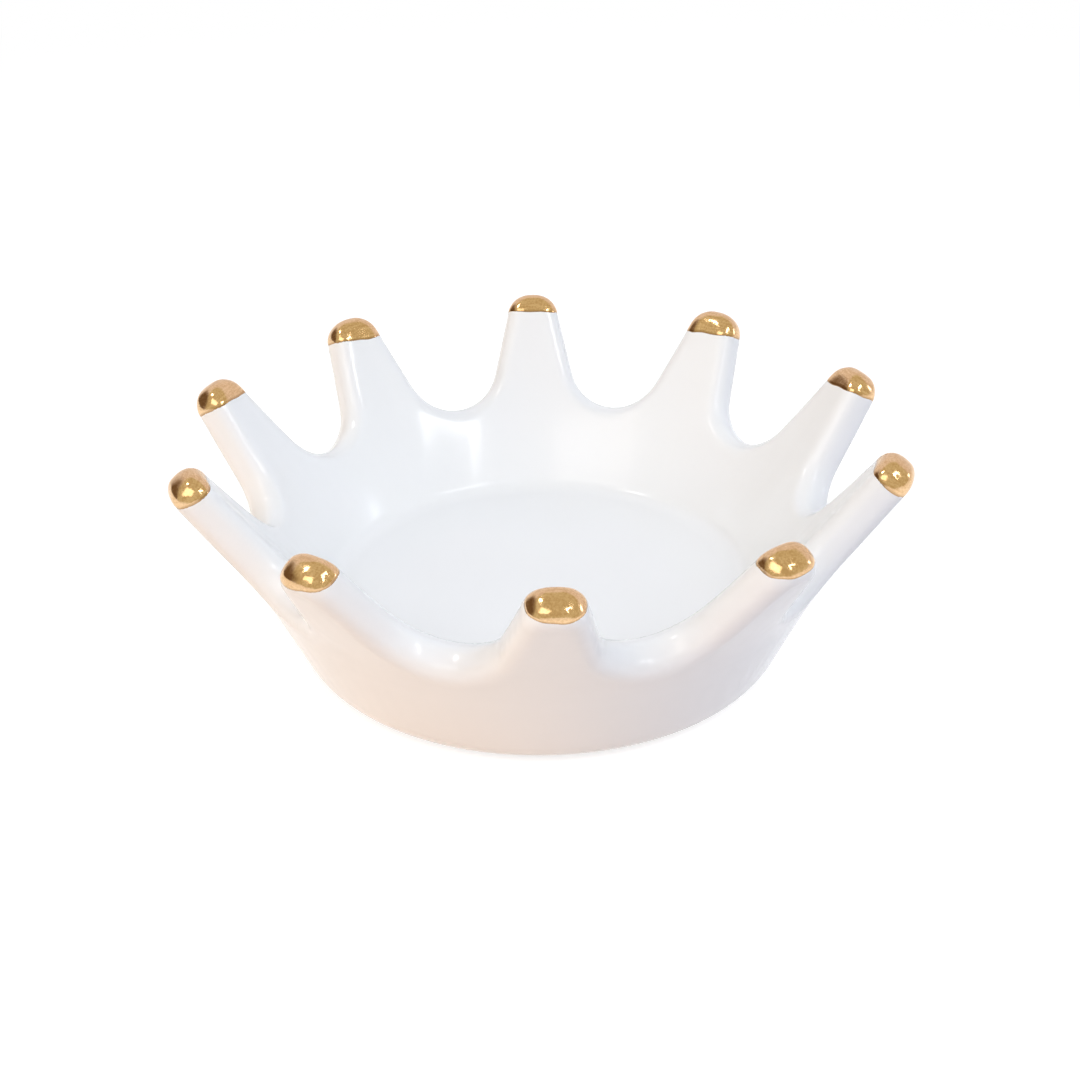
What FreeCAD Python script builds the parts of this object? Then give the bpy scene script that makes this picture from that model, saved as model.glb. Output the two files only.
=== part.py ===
# Crown-shaped ring dish: one slip-cast ceramic dish with ten fingers, and a gold lustre film on each end.
# Millimetres and degrees, +Z up, origin at the centre of the foot, where the dish stands.
# One finger points to -Y.
import FreeCAD, Part
import itertools
import math
import os
import Sketcher
from FreeCAD import Placement, Rotation, Vector

# Driving dimensions
SIZES = {
    # fingers round the rim
    "finger_count": 10,
    # foot and hollow underside
    "foot_radius": 31.0,
    "foot_corner_radius": 5.5,
    "foot_edge_radius": 1.0,
    "foot_ring_width": 4.0,
    "recess_depth": 5.4,
    "recess_draft": 18.0,
    "recess_corner_radius": 2.5,
    # wall, the two leans of its outside from the vertical, and the flare between them, which starts above
    # the inside floor; the inside has the upper lean all the way down
    "wall_thickness": 5.5,
    "lower_lean": 24.9,
    "upper_lean": 35.5,
    "flare_height": 3.8,
    "flare_radius": 41.6,
    "crown_height": 36.3,
    # inside floor
    "floor_height": 9.6,
    "floor_corner_radius": 3.0,
    # fingers, from the valley's bottom to the end, measured on the wall
    "finger_length": 18.5,
    "finger_end_width": 6.5,
    "finger_taper": 12.9,
    "finger_end_radius": 3.6,
    "lip_radius": 2.2,
    # gold film on the fingers' ends
    "film_thickness": 0.15,
    "gold_length": 3.0,
    # room that cutting shapes have past what they cut
    "overrun": 5.0,
}

# Largest rounding of the finger's end, as a share of its width,
# and of the lip, as shares of the sizes that it has to fit
END_LIMIT_SHARE = 0.56
LIP_LIMIT_SHARES = {"wall_thickness": 0.42, "finger_end_radius": 0.8, "finger_end_width": 0.38}

# Hand-painted gold, finger by finger and counter-clockwise from the one at -Y: its length in the middle of
# the wall as a share of gold_length, and the slopes of its edge across the finger and up through the wall
GOLD_LENGTH_SHARES = (0.65, 0.55, 1.03, 1.10, 1.23, 0.93, 1.07, 1.00, 0.85, 0.75)
GOLD_SIDE_SLOPES = (3.0, -4.0, 2.0, 7.0, 4.0, -2.0, -4.0, -6.0, 3.0, -3.0)
GOLD_OUTWARD_SLOPES = (22.0, 25.0, 0.0, 8.0, 10.0, 8.0, 12.0, 6.0, 10.0, 20.0)
GILDING_SHARE = 2.2

# Places on a sketch's line or arc, and the sketch's own origin and axes
START_INDEX, END_INDEX, CENTRE_INDEX = 1, 2, 3
ORIGIN = (-1, 1)
HORIZONTAL_INDEX, VERTICAL_INDEX = -1, -2

FULL_ANGLE, HALF_ANGLE, QUARTER_ANGLE = 360, 180, 90
LEAST_SHARP_ANGLE = 15


def make_sheet(doc):
    """Put the driving dimensions in a spreadsheet, one aliased cell each."""
    sheet = doc.addObject("Spreadsheet::Sheet", "Sizes")
    for row, (alias, value) in enumerate(SIZES.items(), start=1):
        sheet.set(f"A{row}", alias)
        sheet.set(f"B{row}", str(value))
        sheet.setAlias(f"B{row}", alias)
    doc.recompute()
    return sheet


def origin_feature(body, role):
    """Origin plane or axis of a body, by its role."""
    return next(item for item in body.Origin.OriginFeatures if item.Role == role)


def new_sketch(body, name, plane):
    """Upright sketch on one of the body's own planes."""
    sketch = body.newObject("Sketcher::SketchObject", name)
    sketch.AttachmentSupport = (origin_feature(body, plane), "")
    sketch.MapMode = "FlatFace"
    return sketch


def add_tie(sketch, kind, *places):
    """Constraint without a size."""
    return sketch.addConstraint(Sketcher.Constraint(kind, *places))


def add_size(sketch, name, expression, kind, *places):
    """Dimension of a sketch, bound to the sheet."""
    value = float(sketch.evalExpression(expression))
    if kind == "Angle":
        value = math.radians(value)
    sketch.renameConstraint(add_tie(sketch, kind, *places, value), name)
    sketch.setExpression(f"Constraints.{name}", expression)


def lean_vectors(lean):
    """Unit vectors along a wall that leans by this angle from the vertical, and out of its outer face."""
    angle = math.radians(lean)
    return Vector(math.sin(angle), math.cos(angle), 0), Vector(math.cos(angle), -math.sin(angle), 0)


def meet(point, direction, height):
    """Point where a line reaches a height."""
    return point + direction * ((height - point.y) / direction.y)


def arc(centre, radius, start, end):
    """Counter-clockwise arc of a sketch, its angles in degrees."""
    circle = Part.Circle(centre, Vector(0, 0, 1), radius)
    return Part.ArcOfCircle(circle, math.radians(start), math.radians(end))


def section_points(sheet):
    """Corners and arc centres of the dish's half section, with the radius across and the height up."""
    up_low, out_low = lean_vectors(sheet.lower_lean)
    up_high, out_high = lean_vectors(sheet.upper_lean)
    side_up, side_out = lean_vectors(-sheet.recess_draft)
    at = {"foot_centre": Vector(sheet.foot_radius, sheet.foot_corner_radius, 0)}
    at["wall_start"] = at["foot_centre"] + out_low * sheet.foot_corner_radius
    at["flare_start"] = meet(at["wall_start"], up_low, sheet.floor_height + sheet.flare_height)
    at["flare_centre"] = at["flare_start"] + out_low * sheet.flare_radius
    at["flare_end"] = at["flare_centre"] - out_high * sheet.flare_radius
    at["inner_end"] = meet(at["flare_end"] - out_high * sheet.wall_thickness, up_high, sheet.crown_height)
    at["outer_end"] = at["inner_end"] + out_high * sheet.wall_thickness
    at["floor_centre"] = meet(at["inner_end"] - out_high * sheet.floor_corner_radius, up_high,
                              sheet.floor_height + sheet.floor_corner_radius)
    at["inner_wall_start"] = at["floor_centre"] + out_high * sheet.floor_corner_radius
    at["foot_inside"] = Vector(sheet.foot_radius - sheet.foot_ring_width, 0, 0)
    at["edge_centre"] = at["foot_inside"] + Vector(0, sheet.foot_edge_radius, 0)
    at["recess_start"] = at["edge_centre"] - side_out * sheet.foot_edge_radius
    at["roof_centre"] = meet(at["recess_start"] - side_out * sheet.recess_corner_radius, side_up,
                             sheet.recess_depth - sheet.recess_corner_radius)
    at["recess_end"] = at["roof_centre"] + side_out * sheet.recess_corner_radius
    return at


def draw_section(sketch, sheet):
    """Draw the half section: foot, outer wall, finger's end, inner wall, floor and hollow underside."""
    at = section_points(sheet)
    low, high, side = -sheet.lower_lean, -sheet.upper_lean, sheet.recess_draft
    floor_edge = Vector(at["floor_centre"].x, sheet.floor_height, 0)
    roof_edge = Vector(at["roof_centre"].x, sheet.recess_depth, 0)
    floor_middle = Vector(0, sheet.floor_height, 0)
    roof_middle = Vector(0, sheet.recess_depth, 0)
    line = Part.LineSegment
    pieces = {
        "foot": line(at["foot_inside"], Vector(sheet.foot_radius, 0, 0)),
        "foot_corner": arc(at["foot_centre"], sheet.foot_corner_radius, -QUARTER_ANGLE, low),
        "outer_low": line(at["wall_start"], at["flare_start"]),
        "outer_flare": arc(at["flare_centre"], sheet.flare_radius, HALF_ANGLE + high, HALF_ANGLE + low),
        "outer_high": line(at["flare_end"], at["outer_end"]),
        "end": line(at["outer_end"], at["inner_end"]),
        "inner": line(at["inner_end"], at["inner_wall_start"]),
        "floor_corner": arc(at["floor_centre"], sheet.floor_corner_radius, -QUARTER_ANGLE, high),
        "floor": line(floor_edge, floor_middle),
        "axis": line(floor_middle, roof_middle),
        "roof": line(roof_middle, roof_edge),
        "roof_corner": arc(at["roof_centre"], sheet.recess_corner_radius, side, QUARTER_ANGLE),
        "recess_side": line(at["recess_end"], at["recess_start"]),
        "foot_edge": arc(at["edge_centre"], sheet.foot_edge_radius,
                         HALF_ANGLE + side, HALF_ANGLE + QUARTER_ANGLE),
    }
    tie_section(sketch, {name: sketch.addGeometry(piece, False) for name, piece in pieces.items()})


def tie_section(sketch, index):
    """Join the half section's lines and arcs, and bind its sizes to the sheet."""
    start, end = START_INDEX, END_INDEX
    smooth_joints = (
        ("foot", end, "foot_corner", start), ("foot_corner", end, "outer_low", start),
        ("outer_low", end, "outer_flare", end), ("outer_flare", start, "outer_high", start),
        ("inner", end, "floor_corner", end), ("floor_corner", start, "floor", start),
        ("roof", end, "roof_corner", end), ("roof_corner", start, "recess_side", start),
        ("recess_side", end, "foot_edge", start), ("foot_edge", end, "foot", start),
    )
    for first, first_place, second, second_place in smooth_joints:
        add_tie(sketch, "Tangent", index[first], first_place, index[second], second_place)
    corners = (("outer_high", "end"), ("end", "inner"), ("floor", "axis"), ("axis", "roof"))
    for first, second in corners:
        add_tie(sketch, "Coincident", index[first], end, index[second], start)
    add_tie(sketch, "Perpendicular", index["outer_high"], index["end"])
    add_tie(sketch, "Parallel", index["outer_high"], index["inner"])
    for level in ("foot", "floor", "roof"):
        add_tie(sketch, "Horizontal", index[level])
    add_tie(sketch, "PointOnObject", index["foot"], end, HORIZONTAL_INDEX)
    for place in (start, end):
        add_tie(sketch, "PointOnObject", index["axis"], place, VERTICAL_INDEX)
    radii = {"foot_corner_radius": "foot_corner", "flare_radius": "outer_flare",
             "foot_edge_radius": "foot_edge", "floor_corner_radius": "floor_corner",
             "recess_corner_radius": "roof_corner"}
    for name, piece in radii.items():
        add_size(sketch, name, f"Sizes.{name}", "Radius", index[piece])
    for name, piece in (("crown_height", "end"), ("floor_height", "floor"), ("recess_depth", "axis")):
        add_size(sketch, name, f"Sizes.{name}", "DistanceY", *ORIGIN, index[piece], end)
    rise = index["floor"], end, index["outer_low"], end
    add_size(sketch, "flare_height", "Sizes.flare_height", "DistanceY", *rise)
    add_size(sketch, "foot_radius", "Sizes.foot_radius", "DistanceX", *ORIGIN, index["foot"], end)
    add_size(sketch, "foot_ring_width", "Sizes.foot_ring_width", "Distance", index["foot"])
    add_size(sketch, "wall_thickness", "Sizes.wall_thickness", "Distance", index["end"])
    add_size(sketch, "lower_lean", "90 - Sizes.lower_lean", "Angle", index["outer_low"])
    add_size(sketch, "upper_lean", "90 - Sizes.upper_lean", "Angle", index["outer_high"])
    add_size(sketch, "recess_draft", "Sizes.recess_draft - 90", "Angle", index["recess_side"])
    outer_end = sketch.getPoint(index["end"], start)
    reach = add_tie(sketch, "DistanceX", *ORIGIN, index["end"], start, outer_end.x)
    sketch.setDriving(reach, False)
    sketch.renameConstraint(reach, "outer_reach")


def finger_end(sheet):
    """Middle of the wall's end, with the radius across and the height up."""
    at = section_points(sheet)
    return (at["inner_end"] + at["outer_end"]) / 2


def draw_valley(sketch, inwards):
    """Draw a valley's outline on an upright plane, this expression's distance in from the fingers' ends.

    A finger's sides are parallel to its own radial plane, and the outline drops outwards like the wall's
    normal."""
    half_pitch = "(180 / Sizes.finger_count)"
    end_radius = "section.Constraints.outer_reach / 1mm - Sizes.wall_thickness / 2 * cos(Sizes.upper_lean)"
    distance = f"{end_radius} - ({inwards})"
    rise = f"({inwards}) * tan(Sizes.upper_lean)"
    end_height = f"Sizes.crown_height - Sizes.wall_thickness / 2 * sin(Sizes.upper_lean) + {rise}"
    bottom = f"{end_height} - Sizes.finger_length / cos(Sizes.upper_lean)"
    slope = f"tan(Sizes.finger_taper) * cos(Sizes.upper_lean) / cos{half_pitch}"
    half_width = "(Sizes.finger_end_width / 2 + Sizes.finger_length * tan(Sizes.finger_taper))"
    half_gap = f"(({distance}) * tan{half_pitch} - {half_width} / cos{half_pitch})"
    radius = f"{half_gap} * cos(atan({slope})) / (1 - sin(atan({slope})))"
    top = "Sizes.crown_height + Sizes.overrun"
    sketch.setExpression("AttachmentOffset.Base.z", distance)

    lean = math.degrees(math.atan(float(sketch.evalExpression(slope))))
    bend = float(sketch.evalExpression(radius))
    centre = Vector(0, float(sketch.evalExpression(bottom)) + bend, 0)
    along, outward = lean_vectors(lean)
    right_low = centre + outward * bend
    right_high = meet(right_low, along, float(sketch.evalExpression(top)))
    left_low, left_high = (Vector(-point.x, point.y, 0) for point in (right_low, right_high))
    bowl = sketch.addGeometry(arc(centre, bend, lean - HALF_ANGLE, -lean), False)
    right = sketch.addGeometry(Part.LineSegment(right_low, right_high), False)
    lid = sketch.addGeometry(Part.LineSegment(right_high, left_high), False)
    left = sketch.addGeometry(Part.LineSegment(left_high, left_low), False)

    add_tie(sketch, "Tangent", bowl, END_INDEX, right, START_INDEX)
    add_tie(sketch, "Coincident", right, END_INDEX, lid, START_INDEX)
    add_tie(sketch, "Coincident", lid, END_INDEX, left, START_INDEX)
    add_tie(sketch, "Tangent", left, END_INDEX, bowl, START_INDEX)
    add_tie(sketch, "PointOnObject", bowl, CENTRE_INDEX, VERTICAL_INDEX)
    add_tie(sketch, "Symmetric", lid, START_INDEX, lid, END_INDEX, VERTICAL_INDEX)
    add_size(sketch, "bend", radius, "Radius", bowl)
    add_size(sketch, "centre_height", f"{bottom} + {radius}", "DistanceY", *ORIGIN, bowl, CENTRE_INDEX)
    add_size(sketch, "side_lean", f"90 deg - atan({slope})", "Angle", right)
    add_size(sketch, "top", top, "DistanceY", *ORIGIN, lid, START_INDEX)


def sharp_edges(shape, lowest):
    """Names of the edges above a height where two faces meet at an angle, with their edges."""
    found = {}
    for number, edge in enumerate(shape.Edges, start=1):
        faces = shape.ancestorsOfType(edge, Part.Face)
        if edge.BoundBox.ZMin < lowest or len(faces) < 2:
            continue
        point = edge.valueAt((edge.FirstParameter + edge.LastParameter) / 2)
        first, second = (face.normalAt(*face.Surface.parameter(point)) for face in faces)
        if math.degrees(first.getAngle(second)) > LEAST_SHARP_ANGLE:
            found[f"Edge{number}"] = edge
    return found


def crosses_wall(edge, sheet):
    """Whether an edge runs through the wall from its inner to its outer face, dropping outwards."""
    points = [vertex.Point for vertex in edge.Vertexes]
    ends = sorted(points, key=lambda point: math.hypot(point.x, point.y))
    drop = ends[0].z - ends[-1].z
    return drop > sheet.wall_thickness * math.sin(math.radians(sheet.upper_lean)) / 2


def add_fillet(body, name, edges, radius):
    """Round some edges of a body's last feature by an expression's radius."""
    base = body.Tip
    fillet = body.newObject("PartDesign::Fillet", name)
    fillet.Base = (base, list(edges))
    fillet.setExpression("Radius", radius)
    body.Tip = fillet
    body.Document.recompute()


def make_dish(doc, sheet):
    """Turn the section into a bowl, cut the valleys between the fingers, and round fingers and lip."""
    body = doc.addObject("PartDesign::Body", "ceramic_dish")
    section = new_sketch(body, "section", "YZ_Plane")
    draw_section(section, sheet)
    bowl = body.newObject("PartDesign::Revolution", "bowl")
    bowl.Profile = section
    bowl.ReferenceAxis = (section, ["V_Axis"])
    bowl.Angle = FULL_ANGLE
    doc.recompute()

    inner = new_sketch(body, "valley_inside", "XZ_Plane")
    draw_valley(inner, "Sizes.finger_length * sin(Sizes.upper_lean) + Sizes.wall_thickness")
    outer = new_sketch(body, "valley_outside", "XZ_Plane")
    draw_valley(outer, "-Sizes.wall_thickness")
    valley = body.newObject("PartDesign::SubtractiveLoft", "valley")
    valley.Profile = inner
    valley.Sections = [outer]
    valley.Ruled = True
    doc.recompute()
    valleys = body.newObject("PartDesign::PolarPattern", "valleys")
    valleys.Originals = [valley]
    valleys.Axis = (origin_feature(body, "Z_Axis"), [""])
    valleys.Angle = FULL_ANGLE
    valleys.setExpression("Occurrences", "Sizes.finger_count")
    body.Tip = valleys
    doc.recompute()

    end_radius = f"min(Sizes.finger_end_radius; Sizes.finger_end_width * {END_LIMIT_SHARE})"
    limits = "; ".join(f"Sizes.{name} * {share}" for name, share in LIP_LIMIT_SHARES.items())
    rim = sharp_edges(valleys.Shape, sheet.floor_height)
    corners = [name for name, edge in rim.items() if crosses_wall(edge, sheet)]
    add_fillet(body, "finger_ends", corners, end_radius)
    lip = sharp_edges(body.Tip.Shape, sheet.floor_height)
    add_fillet(body, "lip", lip, f"min(Sizes.lip_radius; {limits})")
    body.Placement.Rotation = Rotation(Vector(0, 0, 1), HALF_ANGLE / sheet.finger_count)
    doc.recompute()
    return body


def gold_zone(doc, sheet, name, length, side_slope=0, outward_slope=0):
    """Block round the end of the finger at -Y, with its sloped lower face at the gold's edge."""
    zone = doc.addObject("Part::Box", name)
    for side in ("Length", "Width"):
        zone.setExpression(side, "2 * (Sizes.finger_end_width + Sizes.overrun)")
    zone.setExpression("Height", f"{length} + Sizes.overrun")
    doc.recompute()
    end = finger_end(sheet)
    at_end = Placement(Vector(0, -end.x, end.y), Rotation(Vector(1, 0, 0), sheet.upper_lean))
    slopes = Rotation(Vector(0, 1, 0), side_slope).multiply(Rotation(Vector(1, 0, 0), -outward_slope))
    drop = Placement(Vector(0, 0, -float(zone.evalExpression(length))), slopes)
    centred = Placement(Vector(-zone.Length.Value / 2, -zone.Width.Value / 2, 0), Rotation())
    zone.Placement = at_end.multiply(drop).multiply(centred)
    return zone


def make_gilding(doc, sheet, dish):
    """Skin of even thickness over the end of the finger at -Y, further down than any of the gold."""
    zone = gold_zone(doc, sheet, "gilding_zone", f"Sizes.gold_length * {GILDING_SHARE}")
    end = doc.addObject("Part::Common", "finger_end")
    end.Base, end.Tool = dish, zone
    doc.recompute()
    cut_plane = Part.Plane(zone.Placement.Base, zone.Placement.Rotation.multVec(Vector(0, 0, 1)))
    distances = [plane_distance(face, cut_plane) for face in end.Shape.Faces]
    gilding = doc.addObject("Part::Thickness", "gilding")
    gilding.Faces = (end, [f"Face{distances.index(min(distances)) + 1}"])
    gilding.setExpression("Value", "Sizes.film_thickness")
    gilding.Mode = "Skin"
    gilding.Join = "Arc"
    doc.recompute()
    return gilding


def make_gold(doc, sheet, dish):
    """Gold film on every finger's end, each trimmed along its own brush line."""
    gilding = make_gilding(doc, sheet, dish)
    films = []
    edges = itertools.cycle(zip(GOLD_LENGTH_SHARES, GOLD_SIDE_SLOPES, GOLD_OUTWARD_SLOPES))
    for number, (share, *slopes) in zip(range(int(sheet.finger_count)), edges):
        film = doc.addObject("Part::Common", f"gold_tip_{number + 1:02d}")
        film.Base = gilding
        zone_name = f"gold_zone_{number + 1:02d}"
        film.Tool = gold_zone(doc, sheet, zone_name, f"Sizes.gold_length * {share}", *slopes)
        film.Placement.Rotation = Rotation(Vector(0, 0, 1), number * FULL_ANGLE / sheet.finger_count)
        films.append(film)
    doc.recompute()
    return films


def plane_distance(face, plane):
    """How far a face's corners lie from a plane, at most."""
    return max(abs((vertex.Point - plane.Position).dot(plane.Axis)) for vertex in face.Vertexes)


def check(doc, nodes):
    """Stop if an object failed, or if a sub-part isn't one valid solid."""
    for item in doc.Objects:
        if "Invalid" in item.State or "Error" in item.State:
            raise RuntimeError(f"{item.Label}: {item.State}")
    for node in nodes:
        if node.Shape.isNull() or not node.Shape.isValid() or len(node.Shape.Solids) != 1:
            raise RuntimeError(f"{node.Label} is not one valid solid")


def main():
    doc = FreeCAD.newDocument("ring_dish")
    sheet = make_sheet(doc)
    dish = make_dish(doc, sheet)
    nodes = [dish, *make_gold(doc, sheet, dish)]
    check(doc, nodes)
    os.makedirs("parts", exist_ok=True)
    for node in nodes:
        node.Shape.exportStep(f"parts/{node.Label}.step")
        box = node.Shape.optimalBoundingBox()
        reach = f"{box.XLength:.2f} x {box.YLength:.2f} x {box.ZLength:.2f}"
        print(f"{node.Label}: volume {node.Shape.Volume:.1f}, {reach}")


main()
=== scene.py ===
"""Ring dish: a glazed ceramic crown with gold lustre on its ten fingers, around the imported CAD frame."""
import math

import bpy
import numpy as np
from mathutils import Matrix, Vector, noise
from mathutils.bvhtree import BVHTree


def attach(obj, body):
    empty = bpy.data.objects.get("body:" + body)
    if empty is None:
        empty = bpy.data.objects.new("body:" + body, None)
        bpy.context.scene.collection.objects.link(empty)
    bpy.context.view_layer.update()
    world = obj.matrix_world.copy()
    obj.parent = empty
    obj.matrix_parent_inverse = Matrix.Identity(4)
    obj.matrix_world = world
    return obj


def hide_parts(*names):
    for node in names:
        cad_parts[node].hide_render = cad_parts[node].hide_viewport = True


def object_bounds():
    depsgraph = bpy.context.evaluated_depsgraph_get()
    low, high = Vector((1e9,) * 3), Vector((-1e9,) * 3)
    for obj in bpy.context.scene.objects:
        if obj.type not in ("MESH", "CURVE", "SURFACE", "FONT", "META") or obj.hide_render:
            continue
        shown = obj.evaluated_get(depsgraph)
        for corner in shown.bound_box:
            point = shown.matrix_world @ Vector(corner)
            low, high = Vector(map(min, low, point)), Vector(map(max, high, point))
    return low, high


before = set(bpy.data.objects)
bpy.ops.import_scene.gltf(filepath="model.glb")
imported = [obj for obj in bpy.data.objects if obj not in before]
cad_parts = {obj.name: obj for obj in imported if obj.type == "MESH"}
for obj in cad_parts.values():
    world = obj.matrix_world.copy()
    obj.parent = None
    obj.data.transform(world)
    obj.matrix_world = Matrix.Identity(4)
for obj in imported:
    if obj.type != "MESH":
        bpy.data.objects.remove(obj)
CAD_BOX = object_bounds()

MM = 0.001
DISH_NODE = "ceramic_dish"
GOLD_NODES = sorted(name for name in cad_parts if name.startswith("gold_tip"))
FINGER_COUNT = len(GOLD_NODES)
FINGER_PITCH = 2.0 * math.pi / FINGER_COUNT

# the dish's mesh
VOXEL_SIZE = 0.56 * MM
SMOOTH_ROUNDS = 12
SMOOTH_STEP = 0.5
UNSMOOTH_STEP = -0.53
WAVE_LENGTHS = (26.0 * MM, 11.0 * MM)
WAVE_HEIGHTS = (0.10 * MM, 0.03 * MM)
FOOT_FADE = 2.0 * MM

# the inside of the wall: it stands steeper above the floor and then flares, by a share of x (1 - x)^2,
# whose highest value is the peak, and only where the surface faces inwards
FLARE_START = 10.5 * MM
FLARE_END = 28.5 * MM
FLARE_DEPTH = 0.45 * MM
FLARE_PEAK = 4.0 / 27.0
FACING_SPAN = (0.4, 0.7)

# the fingers' ends: the middle of the end face, the finger's lean from upright, and how far each one
# stands to the side of its even place, as cast, with the heights between which it bends over
END_RADIUS = 51.676 * MM
END_HEIGHT = 34.703 * MM
FINGER_LEAN = math.radians(35.5)
FINGER_SHIFTS = np.array((0.6, 0.3, 0.3, 0.0, -0.3, -0.1, 0.0, 0.0, -0.2, 0.0)) * MM
BEND_START = 20.0 * MM
BEND_END = 33.0 * MM

# the gold films
FILM_ORIGIN_DEPTH = 6.0 * MM
FILM_TURNS = 96
FILM_ROWS = 40
FILM_SMOOTHS = 6
FILM_RISE = 0.10 * MM
FILM_TUCK = 0.04 * MM
FILM_SINK = 0.12 * MM
FILM_EDGE = 0.35 * MM
EDGE_BISECTIONS = 18
EDGE_LIMIT = math.radians(150)
EDGE_WAVE = 0.22 * MM
EDGE_WAVE_LENGTH = 2.2 * MM
BRUSH_LENGTH = 2.4 * MM
BRUSH_WIDTH = 0.35 * MM
BRUSH_PHASE = 10.0

# the gold's edge on each finger: length from the end, slope to the side, slope outwards
GOLD_LENGTH = 3.0 * MM
GOLD_SHARES = (0.65, 0.65, 1.03, 1.10, 1.25, 1.00, 1.17, 1.13, 0.85, 0.75)
SIDE_SLOPES = (3, -4, 2, 7, 5, -2, -6, -6, 3, -3)
OUTWARD_SLOPES = (22, 25, 0, 8, 10, 8, 12, 6, 10, 20)

# the glaze
MIX_COLOUR_INPUTS = (0, 6, 7)
MIX_COLOUR_OUTPUT = 2
DRIFT_LENGTH = 22.0 * MM
GLAZE_COOL = (0.86, 0.86, 0.865)
GLAZE_WARM = (0.90, 0.893, 0.885)
GLAZE_ROUGHNESS = (0.01, 0.03)
GLOSS_SPAN = (0.3, 0.7)
PEEL_LENGTH = 4.2 * MM
PEEL_HEIGHT = 0.005 * MM
PINHOLE_SPACING = 15.0 * MM
PINHOLE_RADIUS = 0.22 * MM
PINHOLE_BOTTOM = 0.5
PINHOLE_SHARE = 0.2
PINHOLE_COLOUR = (0.50, 0.44, 0.38)
BARE_HEIGHT = 0.55 * MM
BARE_FADE = 0.12 * MM
DRIP_LENGTH = 5.0 * MM
DRIP_HEIGHT = -0.5 * MM
SAND_LENGTH = 0.35 * MM
SAND_DETAIL = 4.0
BISQUE_DARK = (0.70, 0.63, 0.55)
BISQUE_PALE = (0.82, 0.77, 0.69)
BISQUE_ROUGHNESS = 0.7
BISQUE_GRAIN = 9.0

# the gold; the streaks' length is in brush marks
GOLD_DEEP = (0.74, 0.47, 0.24)
GOLD_PALE = (0.90, 0.62, 0.36)
GOLD_THIN = (0.42, 0.26, 0.13)
GOLD_ROUGHNESS = (0.08, 0.20)
LUSTRE_SPAN = (0.35, 0.65)
STREAK_LENGTH = 1.0
STREAK_SHARE = 0.5
STREAK_DETAIL = 3.0
SPECK_LENGTH = 0.30 * MM
SPECK_HEIGHT = 0.02 * MM

# the lamps: name, azimuth from the front, elevation, width, height, level, colour; the sharp ones show
# in the gloss
LAMP_DISTANCE = 0.8
LAMP_AIM = Vector((0.0, 0.0, 0.02))
SOFT_LAMPS = (
    ("top", 0, 85, 0.9, 0.9, 0.03, (0.70, 0.80, 1.0)),
    ("left", -95, 25, 0.8, 0.6, 0.33, (1.0, 0.955, 0.865)),
    ("right", 95, 45, 0.8, 0.6, 0.33, (0.77, 0.87, 1.0)),
    ("front", 0, 40, 0.8, 0.5, 0.43, (0.88, 0.913, 1.0)),
    ("back", 180, 35, 0.8, 0.5, 0.16, (0.90, 0.94, 1.0)),
    ("front_left", -50, 8, 0.6, 0.2, 0.10, (1.0, 0.55, 0.22)),
    ("back_right", 135, 15, 0.8, 0.35, 0.13, (1.0, 0.97, 0.94)),
)
SHARP_LAMPS = (
    ("key", -87, 60, 0.09, 0.09, 0.08, (1.0, 0.97, 0.93)),
    ("window_front", -34, 43, 0.50, 0.32, 0.12, (1.0, 0.95, 0.86)),
    ("window_right", 100, 14, 0.10, 0.16, 0.03, (0.88, 0.94, 1.0)),
    ("window_bar", 51, 50, 0.275, 0.08, 0.08, (0.97, 0.98, 1.0)),
    ("window_leg_near", 38, 41, 0.04, 0.22, 0.03, (0.97, 0.98, 1.0)),
    ("window_leg_far", 64, 45, 0.035, 0.12, 0.014, (0.97, 0.98, 1.0)),
)

# the surroundings: a plain ambient light, a white backdrop, and what the gloss shows, which is a pale sweep
# behind the dish, a dimmer room in front of it and the room's shaded side
AMBIENT = (0.10, 0.10, 0.10, 1.0)
BACKDROP_COLOUR = (1.0, 1.0, 1.0)
SWEEP_COLOUR = (0.86, 0.82, 0.84)
ROOM_COLOUR = (0.66, 0.62, 0.44)
ROOM_AXIS = (0.1, -0.75, 0.66)
ROOM_SPAN = (0.13, 0.25)
SHADE_COLOUR = (0.18, 0.12, 0.07)
SHADE_AXIS = (-0.957, 0.256, 0.139)
SHADE_SPAN = (0.76, 0.93)

# the floor: what it shows near the dish, how far from it the shadow fades, and the light that it throws
# back to the left and right
FLOOR_HALF = 3.0
FLOOR_GLOW = 0.72
FLOOR_SHADE = (0.45, 0.45, 0.45, 1.0)
SHADOW_REACH = (0.15, 0.45)
BOUNCE_SPAN = (-0.02, 0.05)
BOUNCE_LEFT = (0.93, 0.76, 0.63)
BOUNCE_RIGHT = (0.65, 0.63, 0.68)

# the camera, as fitted to the photograph
CAMERA_ELEVATION = math.radians(27.747)
CAMERA_DISTANCE = 274.435 * MM
CAMERA_TURN = math.radians(1.15)
CAMERA_ROLL = math.radians(-0.720)
CAMERA_TARGET = Vector((-0.139 * MM, 0.0, 15.876 * MM))
CLIP_START = 0.01
SENSOR_WIDTH = 36.0
PHOTO_WIDTH = 1080
FOCAL_PIXELS = 1862.86


def add_object(name, data):
    """Link a new object with this mesh, lamp or camera to the scene."""
    added = bpy.data.objects.new(name, data)
    bpy.context.scene.collection.objects.link(added)
    return added


def coordinates(mesh):
    """Return a mesh's points as an array."""
    points = np.empty(len(mesh.vertices) * 3)
    mesh.vertices.foreach_get("co", points)
    return points.reshape(-1, 3)


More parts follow.
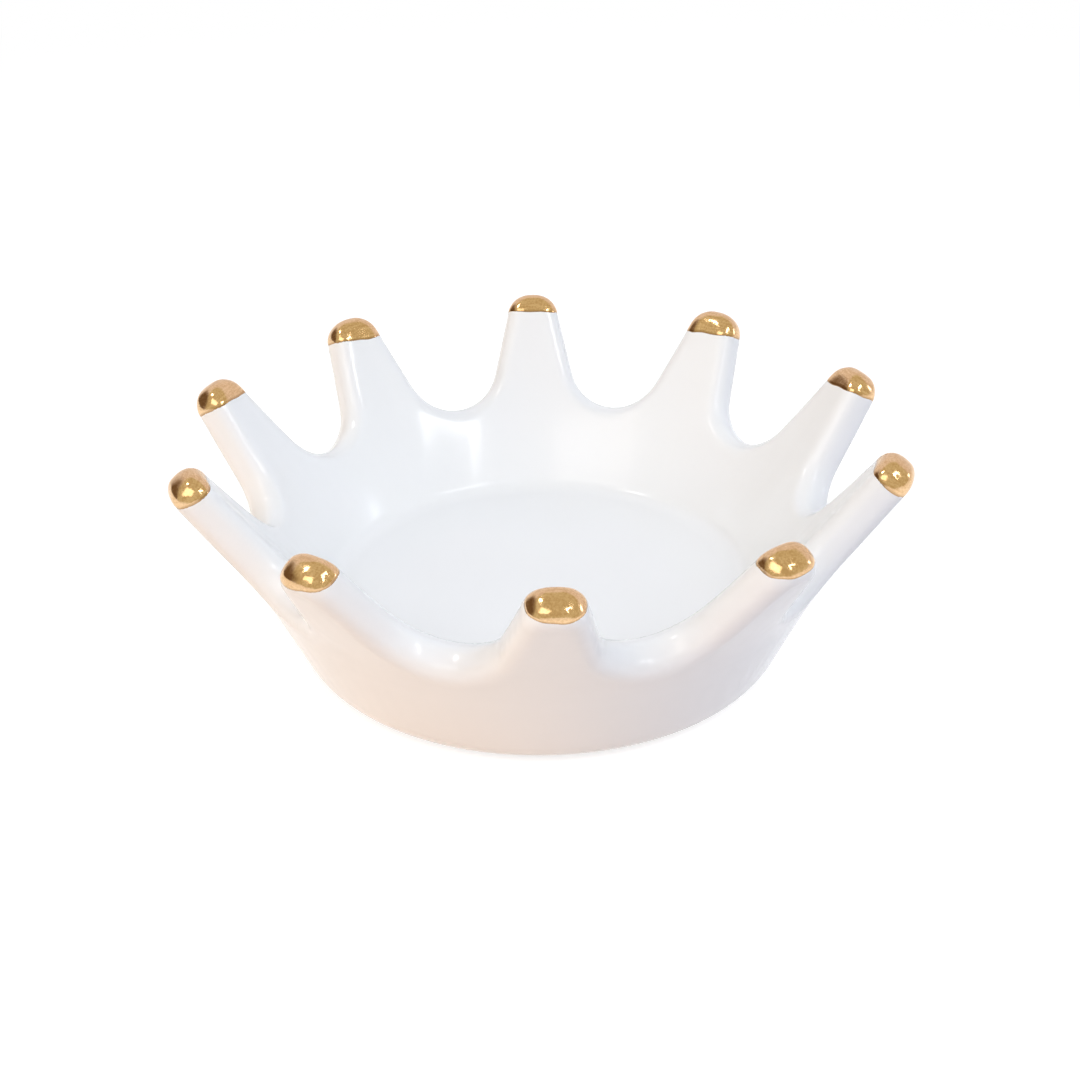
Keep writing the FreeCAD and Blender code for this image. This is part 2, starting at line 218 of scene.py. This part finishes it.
def smooth_points(points, edges):
    """Smooth points along their edges without shrinking the shape."""
    counts = np.bincount(edges.ravel(), minlength=len(points))[:, None]
    for turn in range(2 * SMOOTH_ROUNDS):
        sums = np.zeros_like(points)
        np.add.at(sums, edges[:, 0], points[edges[:, 1]])
        np.add.at(sums, edges[:, 1], points[edges[:, 0]])
        step = UNSMOOTH_STEP if turn % 2 else SMOOTH_STEP
        points = points + step * (sums / counts - points)
    return points


def lean_fingers(points):
    """Bend each finger a little to its side, as cast."""
    turns = np.arctan2(points[:, 0], -points[:, 1])
    indices = np.round(turns / FINGER_PITCH).astype(int) % FINGER_COUNT
    rise = np.clip((points[:, 2] - BEND_START) / (BEND_END - BEND_START), 0.0, 1.0)
    angles = FINGER_SHIFTS[indices] / END_RADIUS * rise ** 2 * (3.0 - 2.0 * rise)
    cosines, sines = np.cos(angles), np.sin(angles)
    leant = points.copy()
    leant[:, 0] = points[:, 0] * cosines - points[:, 1] * sines
    leant[:, 1] = points[:, 0] * sines + points[:, 1] * cosines
    return leant


def wave(point):
    """Return the hand-cast unevenness at a point."""
    total = 0.0
    for length, height in zip(WAVE_LENGTHS, WAVE_HEIGHTS):
        total += height * noise.noise(Vector(point) / length)
    return total


def flare(points, normals):
    """Return how far the inside of the wall stands proud of a straight slope."""
    radial = points[:, :2] / np.linalg.norm(points[:, :2], axis=1)[:, None]
    facing_in = -(radial * normals[:, :2]).sum(axis=1)
    weights = np.clip((facing_in - FACING_SPAN[0]) / (FACING_SPAN[1] - FACING_SPAN[0]), 0.0, 1.0)
    shares = np.clip((points[:, 2] - FLARE_START) / (FLARE_END - FLARE_START), 0.0, 1.0)
    return FLARE_DEPTH / FLARE_PEAK * shares * (1.0 - shares) ** 2 * weights


def dish_mesh():
    """Return the dish's mesh: the casting on an even grid, with eased edges and a slight unevenness."""
    worker = add_object("dish_worker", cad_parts[DISH_NODE].data.copy())
    remesh = worker.modifiers.new("even_grid", "REMESH")
    remesh.mode = "VOXEL"
    remesh.voxel_size = VOXEL_SIZE
    graph = bpy.context.evaluated_depsgraph_get()
    mesh = bpy.data.meshes.new_from_object(worker.evaluated_get(graph))
    bpy.data.objects.remove(worker)
    edges = np.empty(len(mesh.edges) * 2, dtype=np.int32)
    mesh.edges.foreach_get("vertices", edges)
    points = lean_fingers(smooth_points(coordinates(mesh), edges.reshape(-1, 2)))
    mesh.vertices.foreach_set("co", points.ravel())
    mesh.update()
    normals = np.array([vertex.normal for vertex in mesh.vertices])
    heights = np.array([wave(point) for point in points])
    heights *= np.clip(points[:, 2] / FOOT_FADE, 0.0, 1.0)
    points = points + normals * (heights + flare(points, normals))[:, None]
    points[:, 2] = np.maximum(points[:, 2], CAD_BOX[0][2])
    mesh.vertices.foreach_set("co", points.ravel())
    mesh.shade_smooth()
    mesh.update()
    return mesh


def finger_frame(index):
    """Return the middle of a finger's end, and its side, outward and end directions."""
    turn = Matrix.Rotation(index * FINGER_PITCH + FINGER_SHIFTS[index] / END_RADIUS, 3, "Z")
    end = turn @ Vector((0.0, -END_RADIUS, END_HEIGHT))
    side = turn @ Vector((1.0, 0.0, 0.0))
    along = turn @ Vector((0.0, -math.sin(FINGER_LEAN), math.cos(FINGER_LEAN)))
    return end, side, side.cross(along), along


def gold_reach(index, aside, outward):
    """Return how far below the finger's end the gold reaches at a place across the finger."""
    reach = GOLD_LENGTH * GOLD_SHARES[index]
    reach += aside * math.tan(math.radians(SIDE_SLOPES[index]))
    reach -= outward * math.tan(math.radians(OUTWARD_SLOPES[index]))
    place = Vector((aside, outward, 0.0)) / EDGE_WAVE_LENGTH + Vector((0.0, 0.0, index))
    return reach + EDGE_WAVE * noise.noise(place)


class Finger:
    """One finger's end as distances from a point inside it, with the gold's edge round it."""

    def __init__(self, index, tree):
        self.index = index
        self.tree = tree
        self.end, self.side, self.out, self.along = finger_frame(index)
        self.origin = self.end - self.along * FILM_ORIGIN_DEPTH

    def direction(self, polar, turn):
        """Return the direction at an angle from the finger's axis and an angle round it."""
        across = self.side * math.cos(turn) + self.out * math.sin(turn)
        return self.along * math.cos(polar) + across * math.sin(polar)

    def distance(self, polar, turn):
        """Return how far the dish's surface is from the origin in that direction."""
        return self.tree.ray_cast(self.origin, self.direction(polar, turn))[3]

    def below_edge(self, polar, turn):
        """Say whether the surface in that direction lies below the gold's edge."""
        step = self.direction(polar, turn) * self.distance(polar, turn)
        place = self.origin + step - self.end
        reach = gold_reach(self.index, place.dot(self.side), place.dot(self.out))
        return -place.dot(self.along) > reach

    def edge_polar(self, turn):
        """Return the angle from the axis at which the gold ends."""
        low, high = 0.0, EDGE_LIMIT
        for _ in range(EDGE_BISECTIONS):
            middle = 0.5 * (low + high)
            if self.below_edge(middle, turn):
                high = middle
            else:
                low = middle
        return low


def binomial(values, axis, wrap):
    """Smooth an array along one axis with the weights 1, 2, 1."""
    if wrap:
        before, after = np.roll(values, 1, axis), np.roll(values, -1, axis)
    else:
        padded = np.concatenate([values[:1], values, values[-1:]], axis)
        before, after = padded[:-2], padded[2:]
    return 0.25 * before + 0.5 * values + 0.25 * after


def film_distances(finger, polars, turns):
    """Return the evened distances of the dish's surface from the finger's origin."""
    rows = [[finger.distance(polar, turn) for polar, turn in zip(row, turns)] for row in polars]
    distances = np.array(rows)
    for _ in range(FILM_SMOOTHS):
        distances = binomial(binomial(distances, 0, False), 1, True)
    return distances


def film_skin(finger, polars, turns, distances, offsets):
    """Return one skin's points: the pole, and then a ring for each row."""
    points = [finger.origin + finger.along * (distances[0].mean() + offsets[0])]
    for row, lengths, offset in zip(polars, distances, offsets):
        for polar, turn, length in zip(row, turns, lengths):
            points.append(finger.origin + finger.direction(polar, turn) * (length + offset))
    return points


def film_faces(count):
    """Return the faces of an outer and an inner skin of so many points each, joined at the edge."""
    faces = []
    last = 1 + (FILM_ROWS - 1) * FILM_TURNS
    for j in range(FILM_TURNS):
        k = (j + 1) % FILM_TURNS
        rows = [1 + i * FILM_TURNS for i in range(FILM_ROWS - 1)]
        outer = [(0, 1 + j, 1 + k)]
        outer += [(row + j, row + FILM_TURNS + j, row + FILM_TURNS + k, row + k) for row in rows]
        faces += outer
        faces += [tuple(count + point for point in reversed(face)) for face in outer]
        faces.append((last + j, count + last + j, count + last + k, last + k))
    return faces


def brush_places(finger, points):
    """Return each point's place on the finger, in brush marks, for the gold's streaks."""
    places = []
    for point in points:
        step = point - finger.end
        places += [step.dot(finger.side) / BRUSH_LENGTH, step.dot(finger.out) / BRUSH_LENGTH]
        places.append(step.dot(finger.along) / BRUSH_WIDTH + BRUSH_PHASE * finger.index)
    return places


def film_mesh(name, finger):
    """Return a thin closed film over a finger's end, down to the gold's edge."""
    turns = [2.0 * math.pi * j / FILM_TURNS for j in range(FILM_TURNS)]
    edges = binomial(np.array([finger.edge_polar(turn) for turn in turns]), 0, True)
    shares = np.arange(1, FILM_ROWS + 1) / FILM_ROWS
    polars = shares[:, None] * edges[None, :]
    distances = film_distances(finger, polars, turns)
    inside = np.clip(distances[-1].mean() * (1.0 - shares) * edges.mean() / FILM_EDGE, 0.0, 1.0)
    rises = FILM_RISE * inside
    rises[-1] = -FILM_TUCK
    points = film_skin(finger, polars, turns, distances, rises)
    count = len(points)
    points += film_skin(finger, polars, turns, distances, np.full(FILM_ROWS, -FILM_SINK))
    mesh = bpy.data.meshes.new(name)
    mesh.from_pydata([tuple(point) for point in points], [], film_faces(count))
    mesh.shade_smooth()
    to_edge = mesh.attributes.new("to_edge", "FLOAT", "POINT")
    to_edge.data.foreach_set("value", np.concatenate([[1.0], np.repeat(inside, FILM_TURNS)] * 2))
    brush = mesh.attributes.new("brush", "FLOAT_VECTOR", "POINT")
    brush.data.foreach_set("vector", brush_places(finger, points))
    mesh.update()
    return mesh


def add_node(tree, kind, settings=(), values=(), **links):
    """Add a shader node, set its properties and socket values, and link named sockets."""
    node = tree.nodes.new(kind)
    for key, value in dict(settings).items():
        setattr(node, key, value)
    for key, value in dict(values).items():
        node.inputs[key].default_value = value
    for key, source in links.items():
        tree.links.new(source, node.inputs[key.replace("_", " ")])
    return node


def ramp(tree, value, start, end, low=0.0, high=1.0):
    """Return a socket that goes smoothly from low to high as a value goes from start to end."""
    span = {"From Min": start, "From Max": end, "To Min": low, "To Max": high}
    node = add_node(tree, "ShaderNodeMapRange", {"interpolation_type": "SMOOTHSTEP"}, span, Value=value)
    return node.outputs["Result"]


def math_node(tree, operation, *terms):
    """Return the result of an operation on sockets or plain numbers."""
    node = add_node(tree, "ShaderNodeMath", {"operation": operation})
    for socket, term in zip(node.inputs, terms):
        if isinstance(term, (int, float)):
            socket.default_value = term
        else:
            tree.links.new(term, socket)
    return node.outputs[0]


def mix_colour(tree, share, low, high):
    """Return a colour between two, each of them a colour or a socket."""
    node = add_node(tree, "ShaderNodeMix", {"data_type": "RGBA"})
    share_socket, low_socket, high_socket = (node.inputs[i] for i in MIX_COLOUR_INPUTS)
    tree.links.new(share, share_socket)
    for socket, colour in ((low_socket, low), (high_socket, high)):
        if isinstance(colour, tuple):
            socket.default_value = (*colour, 1.0)
        else:
            tree.links.new(colour, socket)
    return node.outputs[MIX_COLOUR_OUTPUT]


def grain(tree, where, length, detail=2.0):
    """Return a noise with features of this length, in metres."""
    values = {"Scale": 1.0 / length, "Detail": detail}
    return add_node(tree, "ShaderNodeTexNoise", values=values, Vector=where).outputs["Fac"]


def new_material(name):
    """Return a new material, its tree and its Principled shader."""
    material = bpy.data.materials.new(name)
    material.use_nodes = True
    tree = material.node_tree
    tree.nodes.clear()
    shader = tree.nodes.new("ShaderNodeBsdfPrincipled")
    output = tree.nodes.new("ShaderNodeOutputMaterial")
    tree.links.new(shader.outputs["BSDF"], output.inputs["Surface"])
    return material, tree, shader


def add_bump(tree, shader, height, distance):
    """Give a shader a bump whose full height is this distance."""
    values = {"Strength": 1.0, "Distance": distance}
    bump = add_node(tree, "ShaderNodeBump", values=values, Height=height)
    tree.links.new(bump.outputs["Normal"], shader.inputs["Normal"])


def pinholes(tree, where):
    """Return a socket that is one in the few pinholes of the glaze."""
    values = {"Scale": 1.0 / PINHOLE_SPACING}
    cells = add_node(tree, "ShaderNodeTexVoronoi", values=values, Vector=where)
    radius = PINHOLE_RADIUS / PINHOLE_SPACING
    pit = ramp(tree, cells.outputs["Distance"], radius, PINHOLE_BOTTOM * radius)
    draw = add_node(tree, "ShaderNodeSeparateColor", Color=cells.outputs["Color"]).outputs["Red"]
    return math_node(tree, "MULTIPLY", pit, math_node(tree, "LESS_THAN", draw, PINHOLE_SHARE))


def bare_foot(tree, where):
    """Return a socket that is one where the foot ring is bare of glaze."""
    height = add_node(tree, "ShaderNodeSeparateXYZ", Vector=where).outputs["Z"]
    drip = math_node(tree, "MULTIPLY_ADD", grain(tree, where, DRIP_LENGTH), DRIP_HEIGHT, height)
    return ramp(tree, drip, BARE_HEIGHT + BARE_FADE, BARE_HEIGHT)


def glaze_material():
    """Return the white glaze: glossy, slightly uneven, with a few pinholes, wiped off the foot ring."""
    material, tree, shader = new_material("white_glaze")
    where = add_node(tree, "ShaderNodeTexCoord").outputs["Object"]
    drift = grain(tree, where, DRIFT_LENGTH)
    sand = grain(tree, where, SAND_LENGTH, SAND_DETAIL)
    pit = pinholes(tree, where)
    bare = bare_foot(tree, where)
    colour = mix_colour(tree, drift, GLAZE_COOL, GLAZE_WARM)
    colour = mix_colour(tree, pit, colour, PINHOLE_COLOUR)
    colour = mix_colour(tree, bare, colour, mix_colour(tree, sand, BISQUE_DARK, BISQUE_PALE))
    tree.links.new(colour, shader.inputs["Base Color"])
    gloss = ramp(tree, drift, *GLOSS_SPAN, *GLAZE_ROUGHNESS)
    roughness = math_node(tree, "MULTIPLY_ADD", bare, BISQUE_ROUGHNESS, gloss)
    tree.links.new(roughness, shader.inputs["Roughness"])
    peel = math_node(tree, "SUBTRACT", grain(tree, where, PEEL_LENGTH), pit)
    peel = math_node(tree, "MULTIPLY_ADD", math_node(tree, "MULTIPLY", sand, bare), BISQUE_GRAIN, peel)
    add_bump(tree, shader, peel, PEEL_HEIGHT)
    return material


def gold_material():
    """Return the gold lustre: polished metal with fine brush marks, brown at its thin edge."""
    material, tree, shader = new_material("gold_lustre")
    where = add_node(tree, "ShaderNodeTexCoord").outputs["Object"]
    marks = add_node(tree, "ShaderNodeAttribute", {"attribute_name": "brush"}).outputs["Vector"]
    streak = grain(tree, marks, STREAK_LENGTH, STREAK_DETAIL)
    speck = grain(tree, where, SPECK_LENGTH, STREAK_DETAIL)
    uneven = math_node(tree, "MULTIPLY", math_node(tree, "ADD", streak, speck), STREAK_SHARE)
    colour = mix_colour(tree, ramp(tree, uneven, *LUSTRE_SPAN), GOLD_DEEP, GOLD_PALE)
    edge = add_node(tree, "ShaderNodeAttribute", {"attribute_name": "to_edge"}).outputs["Fac"]
    colour = mix_colour(tree, edge, GOLD_THIN, colour)
    tree.links.new(colour, shader.inputs["Base Color"])
    roughness = ramp(tree, uneven, *LUSTRE_SPAN, *GOLD_ROUGHNESS)
    tree.links.new(roughness, shader.inputs["Roughness"])
    shader.inputs["Metallic"].default_value = 1.0
    add_bump(tree, shader, uneven, SPECK_HEIGHT)
    return material


def from_angles(azimuth, elevation):
    """Return the direction at an azimuth from the front, to the right, and an elevation, in degrees."""
    turn, lift = math.radians(azimuth), math.radians(elevation)
    return Vector((math.sin(turn) * math.cos(lift), -math.cos(turn) * math.cos(lift), math.sin(lift)))


def add_lamp(name, azimuth, elevation, width, height, level, colour):
    """Add a lamp which alone lights a white surface that faces it to this level."""
    lamp = bpy.data.lights.new(name, "AREA")
    lamp.shape = "RECTANGLE"
    lamp.size, lamp.size_y = width, height
    lamp.color = colour
    lamp.energy = level * math.pi ** 2 * LAMP_DISTANCE ** 2
    holder = add_object(name, lamp)
    towards = from_angles(azimuth, elevation)
    holder.location = LAMP_AIM + towards * LAMP_DISTANCE
    holder.rotation_euler = towards.to_track_quat("Z", "Y").to_euler()
    holder.visible_camera = False
    return holder


def add_lamps():
    """Light the dish softly from all round, and add the windows that its gloss shows."""
    for row in SOFT_LAMPS:
        add_lamp(*row).visible_glossy = False
    for row in SHARP_LAMPS:
        add_lamp(*row)


def shown_rays(tree):
    """Return a socket that is one for rays that show the surroundings themselves."""
    path = add_node(tree, "ShaderNodeLightPath").outputs
    direct = math_node(tree, "MAXIMUM", path["Is Camera Ray"], path["Is Transmission Ray"])
    return math_node(tree, "MAXIMUM", direct, path["Is Glossy Ray"])


def shader_mix(tree, share, first, second):
    """Return a shader between two."""
    node = tree.nodes.new("ShaderNodeMixShader")
    for socket, source in zip(node.inputs, (share, first, second)):
        tree.links.new(source, socket)
    return node.outputs[0]


def facing(tree, way, axis, start, end):
    """Return a socket that rises as a direction turns towards an axis."""
    node = add_node(tree, "ShaderNodeVectorMath", {"operation": "DOT_PRODUCT"})
    tree.links.new(way, node.inputs[0])
    node.inputs[1].default_value = Vector(axis).normalized()
    return ramp(tree, node.outputs["Value"], start, end)


def add_world():
    """Add the surroundings: a white backdrop, the room that the gloss shows, and a plain ambient light."""
    world = bpy.data.worlds.new("studio")
    bpy.context.scene.world = world
    world.use_nodes = True
    tree = world.node_tree
    tree.nodes.clear()
    way = add_node(tree, "ShaderNodeTexCoord").outputs["Generated"]
    room = mix_colour(tree, facing(tree, way, ROOM_AXIS, *ROOM_SPAN), SWEEP_COLOUR, ROOM_COLOUR)
    room = mix_colour(tree, facing(tree, way, SHADE_AXIS, *SHADE_SPAN), room, SHADE_COLOUR)
    mirrored = add_node(tree, "ShaderNodeLightPath").outputs["Is Glossy Ray"]
    shown = mix_colour(tree, mirrored, BACKDROP_COLOUR, room)
    backdrop = add_node(tree, "ShaderNodeBackground", Color=shown).outputs[0]
    fill = add_node(tree, "ShaderNodeBackground", values={"Color": AMBIENT}).outputs[0]
    output = tree.nodes.new("ShaderNodeOutputWorld")
    tree.links.new(shader_mix(tree, shown_rays(tree), fill, backdrop), output.inputs["Surface"])


def floor_material():
    """Return the floor's material: it shows white with a soft shadow, and throws back a tinted light."""
    material = bpy.data.materials.new("floor_white")
    material.use_nodes = True
    tree = material.node_tree
    tree.nodes.clear()
    where = add_node(tree, "ShaderNodeTexCoord").outputs["Object"]
    across = add_node(tree, "ShaderNodeSeparateXYZ", Vector=where).outputs["X"]
    tint = mix_colour(tree, ramp(tree, across, *BOUNCE_SPAN), BOUNCE_LEFT, BOUNCE_RIGHT)
    bounce = add_node(tree, "ShaderNodeBsdfDiffuse", Color=tint).outputs[0]
    glow = add_node(tree, "ShaderNodeEmission", values={"Strength": FLOOR_GLOW}).outputs[0]
    shade = add_node(tree, "ShaderNodeBsdfDiffuse", values={"Color": FLOOR_SHADE}).outputs[0]
    white = tree.nodes.new("ShaderNodeAddShader")
    tree.links.new(glow, white.inputs[0])
    tree.links.new(shade, white.inputs[1])
    length = add_node(tree, "ShaderNodeVectorMath", {"operation": "LENGTH"}, Vector=where)
    far = ramp(tree, length.outputs["Value"], *SHADOW_REACH)
    plain = add_node(tree, "ShaderNodeEmission").outputs[0]
    shown = shader_mix(tree, far, white.outputs[0], plain)
    output = tree.nodes.new("ShaderNodeOutputMaterial")
    surface = shader_mix(tree, shown_rays(tree), bounce, shown)
    tree.links.new(surface, output.inputs["Surface"])
    return material


def add_floor():
    """Add the floor that the dish stands on."""
    mesh = bpy.data.meshes.new("floor")
    corners = [(x * FLOOR_HALF, y * FLOOR_HALF, 0.0) for x, y in ((-1, -1), (1, -1), (1, 1), (-1, 1))]
    mesh.from_pydata(corners, [], [(0, 1, 2, 3)])
    mesh.materials.append(floor_material())
    floor = add_object("floor", mesh)


def add_camera():
    """Place the camera where the photograph was taken from."""
    camera = bpy.data.cameras.new("camera")
    camera.sensor_width = SENSOR_WIDTH
    camera.lens = FOCAL_PIXELS * SENSOR_WIDTH / PHOTO_WIDTH
    camera.clip_start = CLIP_START
    holder = add_object("camera", camera)
    back = Vector((0.0, -math.cos(CAMERA_ELEVATION), math.sin(CAMERA_ELEVATION)))
    back = Matrix.Rotation(-CAMERA_TURN, 3, "Z") @ back
    holder.location = CAMERA_TARGET + back * CAMERA_DISTANCE
    aim = back.to_track_quat("Z", "Y").to_matrix() @ Matrix.Rotation(CAMERA_ROLL, 3, "Z")
    holder.rotation_euler = aim.to_euler()
    bpy.context.scene.camera = holder


def add_piece(name, mesh, material, node):
    """Add a piece that stands for a CAD node and moves with the dish."""
    mesh.materials.append(material)
    piece = add_object(name, mesh)
    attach(piece, "root")
    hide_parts(node)


def add_pieces():
    """Add the glazed dish and the gold on its fingers."""
    mesh = dish_mesh()
    mesh.calc_loop_triangles()
    triangles = [tuple(triangle.vertices) for triangle in mesh.loop_triangles]
    tree = BVHTree.FromPolygons([vertex.co for vertex in mesh.vertices], triangles)
    add_piece("glazed_dish", mesh, glaze_material(), DISH_NODE)
    gold = gold_material()
    for index, node in enumerate(GOLD_NODES):
        film = film_mesh(node.replace("tip", "film"), Finger(index, tree))
        add_piece(film.name, film, gold, node)


bpy.context.scene.view_settings.view_transform = "Standard"
add_pieces()
add_floor()
add_world()
add_lamps()
add_camera()
